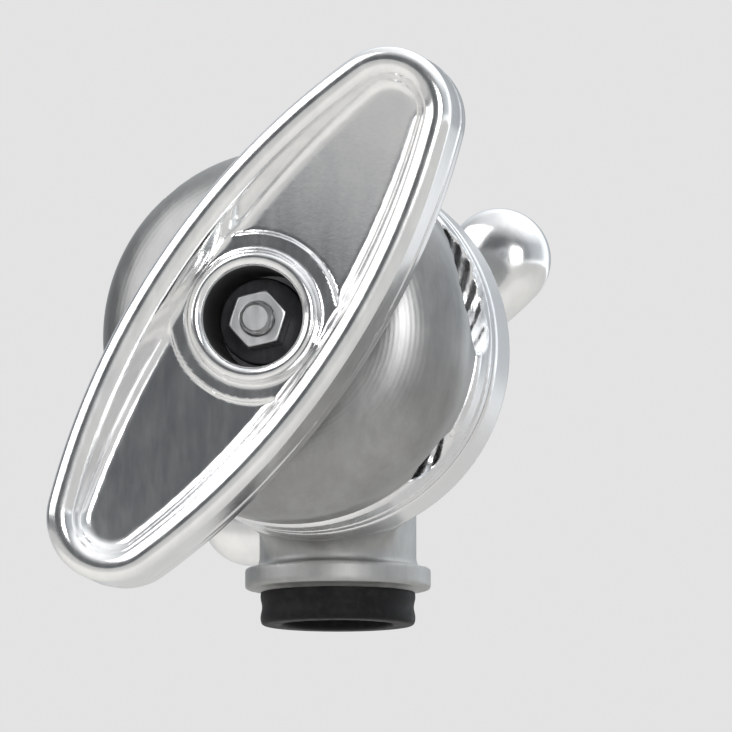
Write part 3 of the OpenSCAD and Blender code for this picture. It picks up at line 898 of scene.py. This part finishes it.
def build_handle():
    half_w, half_l = HANDLE_W / 2 + 0.8, HANDLE_L / 2 + 0.8
    cast("main_handle_shell", handle_field, (-half_w, -half_l, RACE_FRONT - 0.6),
         (half_w, half_l, HANDLE_FRONT + 0.6), cell=0.42, place=HANDLE_FRAME,
         body="main_handle", stands_for="handle_casting", slot="polished_alloy", material=POLISHED_AND_PAINTED_SHADE)
    reach = 9.5
    cast("thread_insert", insert_field, (-reach, -reach, INSERT_REAR - 0.4),
         (reach, reach, INSERT_FRONT + 0.4), cell=0.28, place=HANDLE_FRAME,
         body="main_handle", stands_for="handle_thread_insert", slot="steel", material=STEEL)


# ---------------------------------------------------------------- the stand lock
LOCK_FRONT, LOCK_REAR = backward("lock_handle")
LOCK_MIDDLE = (LOCK_REAR + LOCK_FRONT) / 2
LOCK_HALF_L = 35.5
LOCK_TIP_R, LOCK_WAIST_R = 8.0, 5.7
LOCK_WING_T = 11.0
WING_ROUND = 2.4
LOCK_HUB_R = 8.5
DIMPLE_R, DIMPLE_DEPTH = 4.2, 0.8
SCREW_SOCKET_WALL = 2.0
SCREW_TIP_L, SCREW_TIP_STEP = 2.4, 0.8
CROSS_PIN_R, CROSS_PIN_HALF = 1.25, 8.0


def lock_handle_field(p):
    """A hub with two wings that swell towards their tips."""
    x, y, back = xyz(p)
    r = np.hypot(x, y)
    reach = LOCK_HALF_L - LOCK_TIP_R
    share = np.clip(np.abs(x) / reach, 0, 1)
    half = LOCK_WAIST_R + (LOCK_TIP_R - LOCK_WAIST_R) * share**2 * (3 - 2 * share)
    across = np.hypot(np.maximum(np.abs(x) - reach, 0), y) / half
    along = np.abs(back - LOCK_MIDDLE) / (LOCK_WING_T / 2)
    body = ((across**WING_ROUND + along**WING_ROUND)**(1 / WING_ROUND) - 1) * LOCK_WING_T / 2
    body = join(body, drum(r, back, LOCK_HUB_R, LOCK_FRONT, LOCK_REAR, edge=1.4), blend=4)
    body = cut(body, hole(r, DIMPLE_R, LOCK_REAR - DIMPLE_DEPTH - back), blend=1.0)
    body = trim(body, np.maximum(LOCK_FRONT - back, back - LOCK_REAR), blend=0.4)
    body = cut(body, hole(r, LOCK_R, back - (LOCK_REAR - SCREW_SOCKET_WALL)), blend=0.4)
    return cut(body, np.hypot(x, back - LOCK_MIDDLE) - CROSS_PIN_R, blend=0.3)


def build_lock():
    reach, half_w = LOCK_HALF_L + 0.8, 9.5
    cast("lock_handle_shell", lock_handle_field, (-reach, -half_w, LOCK_FRONT - 0.6),
         (reach, half_w, LOCK_REAR + 0.6), cell=0.38, place=WING_FRAME,
         body="lock_screw_set", stands_for="lock_handle", slot="polished_alloy", material=POLISHED_AND_PAINTED_SHADE)
    front, rear = backward("lock_screw")
    tip_end = front + SCREW_TIP_L
    threaded_rod("lock_screw_rod", [(front, tip_end, LOCK_R - SCREW_TIP_STEP, 0),
                                    (tip_end, rear, LOCK_R, LOCK_PITCH)],
                 chamfer=0.5, place=LOCK_FRAME,
                 body="lock_screw_set", stands_for="lock_screw", slot="steel", material=STEEL)
    pin_frame = (WING_FRAME @ Matrix.Translation((0, 0, LOCK_MIDDLE))
                 @ Matrix.Rotation(math.pi / 2, 4, "X"))
    lathe("lock_cross_pin", ring(0, CROSS_PIN_R, -CROSS_PIN_HALF, CROSS_PIN_HALF, (0, 0.3, 0.3, 0)),
          pin_frame,
          body="lock_screw_set", stands_for="lock_handle_pin", slot="spring_steel", material=WIRE)


# ---------------------------------------------------------------- pieces kept as the CAD model has them
CAD_BEVEL = 0.12


def dress_cad_nodes():
    """Gives each shown CAD node its finish, and all but the balls a fine bevel."""
    finishes = {"bearing_cage": BRASS, "bearing_balls": RACE, "handle_insert_pin": WIRE, "lock_pad": BRASS}
    for name, material in finishes.items():
        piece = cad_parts[name]
        piece.data.materials.clear()
        piece.data.materials.append(material)
        if name != "bearing_balls":
            soft = piece.modifiers.new("edge", "BEVEL")
            soft.width = CAD_BEVEL * MM
            soft.segments = 2
            soft.limit_method = "ANGLE"


# ---------------------------------------------------------------- the studio, in metres
AZIMUTH, ELEVATION = 11.0, -6.0
VIEW_CENTRE = Vector((0.0116, -0.0372, 0.0333))
VIEW_WIDTH = 0.1104
CAMERA_DISTANCE = 2.5
SENSOR_WIDTH = 36.0
FLOOR_Z, FLOOR_REACH = -0.42, 6.0
BACKGROUND = 0.77
# the tones that the metal mirrors, from the front (0) over the sides (0.5) to the back (1)
STUDIO_TONES = ((0.0, 0.13), (0.07, 0.16), (0.25, 0.34), (0.6, 0.46), (0.78, 0.85), (0.93, 1.05),
                (0.975, 0.5), (1.0, 0.35))
STUDIO_TINT = Vector((0.9, 0.95, 1.0))
# what the ceiling and the far floor add to them, and how strong both sides of the studio are
CEILING_TONE = 0.75
FAR_FLOOR_TONE = 0.45
LEFT_SHARE, RIGHT_SHARE = 0.4, 1.55


def direction(azimuth, elevation):
    a, e = math.radians(azimuth), math.radians(elevation)
    return Vector((math.sin(a) * math.cos(e), -math.cos(a) * math.cos(e), math.sin(e)))


def build_camera():
    camera = bpy.data.objects.new("camera", bpy.data.cameras.new("camera"))
    bpy.context.scene.collection.objects.link(camera)
    toward = direction(AZIMUTH, ELEVATION)
    camera.location = VIEW_CENTRE + toward * CAMERA_DISTANCE
    camera.rotation_mode = "QUATERNION"
    camera.rotation_quaternion = (-toward).to_track_quat("-Z", "Y")
    camera.data.sensor_width = SENSOR_WIDTH
    camera.data.lens = SENSOR_WIDTH * CAMERA_DISTANCE / VIEW_WIDTH
    camera.data.clip_start, camera.data.clip_end = 0.1, 20
    bpy.context.scene.camera = camera


def studio_tones(tree, along):
    """The tones from the front to the back of the studio."""
    made = tree.nodes.new("ShaderNodeValToRGB")
    tree.links.new(ramp(tree, along, -1, 1, 0, 1), made.inputs[0])
    stops = made.color_ramp.elements
    for _ in range(len(STUDIO_TONES) - 2):
        stops.new(0.5)
    for stop, (at, tone) in zip(stops, STUDIO_TONES):
        stop.position = at
        stop.color = opaque(tone * STUDIO_TINT)
    return made.outputs["Color"]


def build_world():
    """Pale grey for the camera; for the metal a dark front, grey sides, and a bright back and ceiling."""
    world = bpy.data.worlds.new("studio")
    bpy.context.scene.world = world
    world.use_nodes = True
    tree = world.node_tree
    tree.nodes.clear()
    place = tree.nodes.new("ShaderNodeTexCoord").outputs["Generated"]
    split = node(tree, "SeparateXYZ", {0: place})
    ceiling = ramp(tree, split.outputs["Z"], 0.42, 0.85, 0, CEILING_TONE)
    far_floor = ramp(tree, split.outputs["Z"], 0.04, -0.02, 0, FAR_FLOOR_TONE)
    total = vector_calc(tree, "ADD", studio_tones(tree, split.outputs["Y"]), ceiling)
    total = vector_calc(tree, "ADD", total, far_floor)
    sides = ramp(tree, split.outputs["X"], -0.9, 0.9, LEFT_SHARE, RIGHT_SHARE)
    total = node(tree, "VectorMath", {0: total, "Scale": sides}, operation="SCALE").outputs[0]
    lit = node(tree, "Background", {"Color": total, "Strength": 1.0})
    seen = node(tree, "Background", {"Color": opaque((BACKGROUND,) * 3), "Strength": 1.0})
    path = tree.nodes.new("ShaderNodeLightPath")
    mixed = node(tree, "MixShader", {0: path.outputs["Is Camera Ray"], 1: lit.outputs[0], 2: seen.outputs[0]})
    node(tree, "OutputWorld", {"Surface": mixed.outputs[0]})


def softbox(name, azimuth, elevation, distance, size, glow):
    """An area lamp that faces the part; glow is its radiance."""
    light = bpy.data.lights.new(name, "AREA")
    light.shape = "RECTANGLE"
    light.size, light.size_y = size
    light.energy = glow * math.pi * size[0] * size[1]
    lamp = bpy.data.objects.new(name, light)
    bpy.context.scene.collection.objects.link(lamp)
    toward = direction(azimuth, elevation)
    lamp.location = (cad_low + cad_high) / 2 + toward * distance
    lamp.rotation_mode = "QUATERNION"
    lamp.rotation_quaternion = toward.to_track_quat("Z", "Y")
    lamp.visible_camera = False


def build_floor():
    material, tree, shader, place = new_material("pale_floor")
    shade = mix(tree, noise(tree, place, scale=3, detail=3), (0.67, 0.65, 0.62, 1), (0.71, 0.69, 0.66, 1))
    tree.links.new(shade, shader.inputs["Base Color"])
    shader.inputs["Roughness"].default_value = 0.8
    mesh = bpy.data.meshes.new("floor")
    corners = ((-1, -1), (1, -1), (1, 1), (-1, 1))
    mesh.from_pydata([(x * FLOOR_REACH, y * FLOOR_REACH, FLOOR_Z) for x, y in corners], [], [(0, 1, 2, 3)])
    floor = bpy.data.objects.new("floor", mesh)
    bpy.context.scene.collection.objects.link(floor)
    floor.data.materials.append(material)


def build_studio():
    build_world()
    softbox("left", azimuth=-55, elevation=30, distance=1.1, size=(1.2, 1.0), glow=1.9)
    softbox("front", azimuth=21, elevation=9, distance=0.9, size=(0.25, 0.25), glow=10.5)
    build_floor()
    bpy.context.scene.view_settings.view_transform = "Standard"


build_base_body()
build_spindle()
build_jaw_castings()
build_bushes_and_pins()
build_spring()
build_bearing()
build_handle()
build_lock()
dress_cad_nodes()
build_studio()
build_camera()
